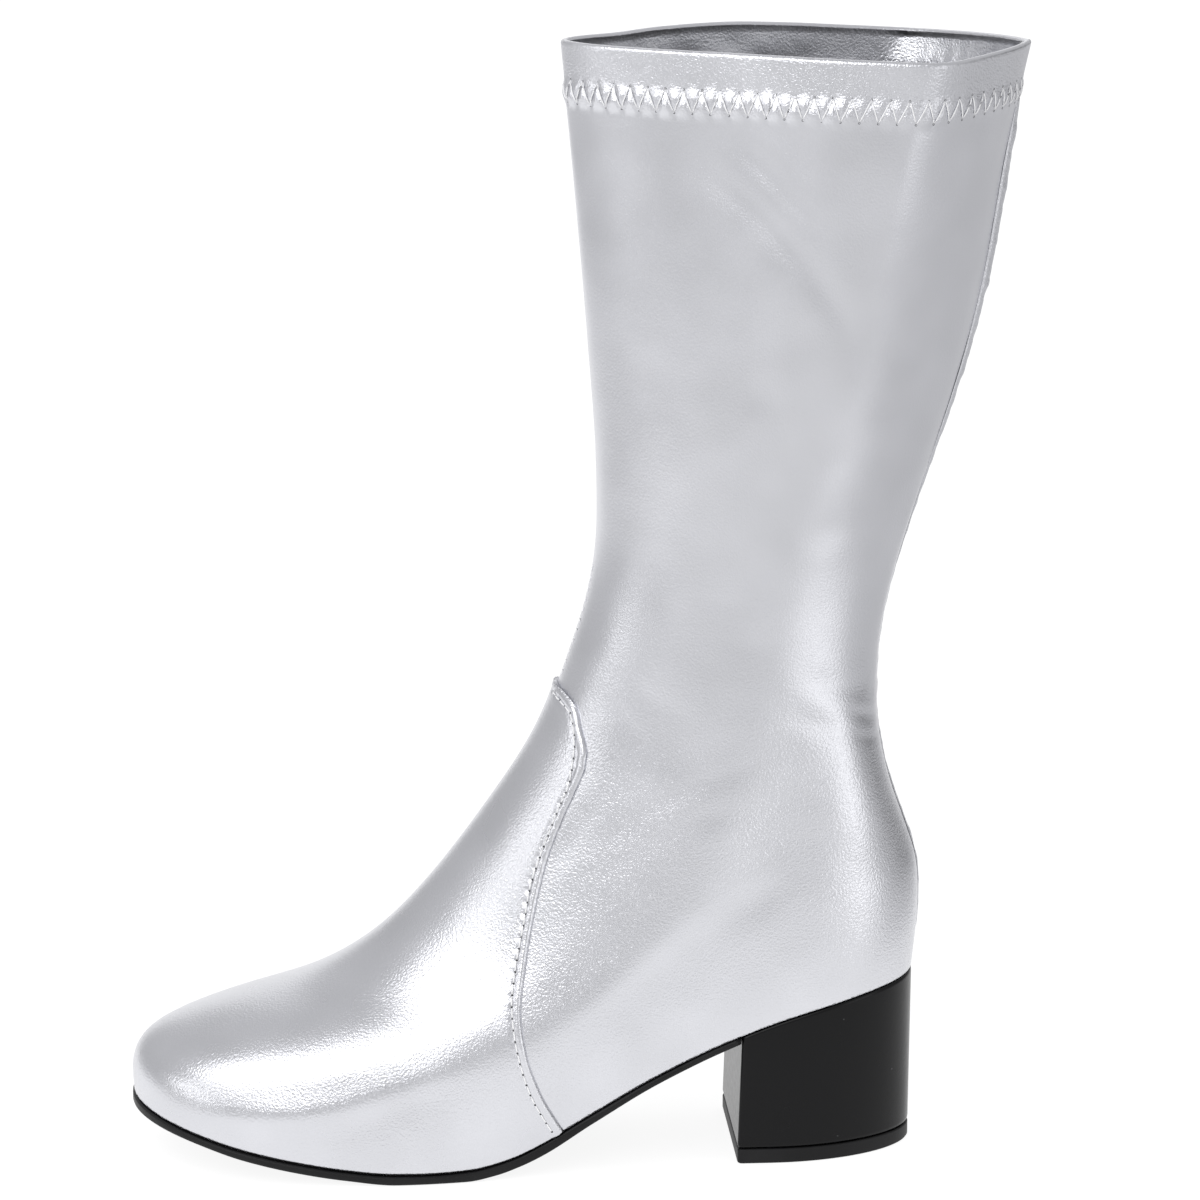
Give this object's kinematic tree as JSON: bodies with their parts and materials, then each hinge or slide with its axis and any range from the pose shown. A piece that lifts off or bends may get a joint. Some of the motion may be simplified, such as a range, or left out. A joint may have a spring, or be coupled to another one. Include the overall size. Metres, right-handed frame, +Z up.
{
  "type": "costume boot",
  "caption": "Mid-calf silver costume boot with a rounded toe, lapped vamp, turned and zigzag-stitched hem, thin black outsole and black block heel.",
  "frame": {"origin": "centre of the boot's bounding box, on the floor that it stands on", "axes": "+Z up the shaft, -X towards the toe, -Y towards the outer side of the foot"},
  "size_m": [0.2808, 0.0876, 0.3526],
  "materials": {
    "silver_upper": "metallic, fine grain",
    "silver_vamp": "metallic, fine grain",
    "silver_strip": "metallic, wrinkled",
    "insole_lining": "matte",
    "black_sole": "satin",
    "black_heel": "gloss",
    "black_lift": "matte"
  },
  "bodies": {
    "root": {"upper": "silver_upper", "vamp": "silver_vamp", "back_strip": "silver_strip", "insole": "insole_lining", "outsole": "black_sole", "heel": "black_heel", "heel_lift": "black_lift"}
  },
  "joints": []
}
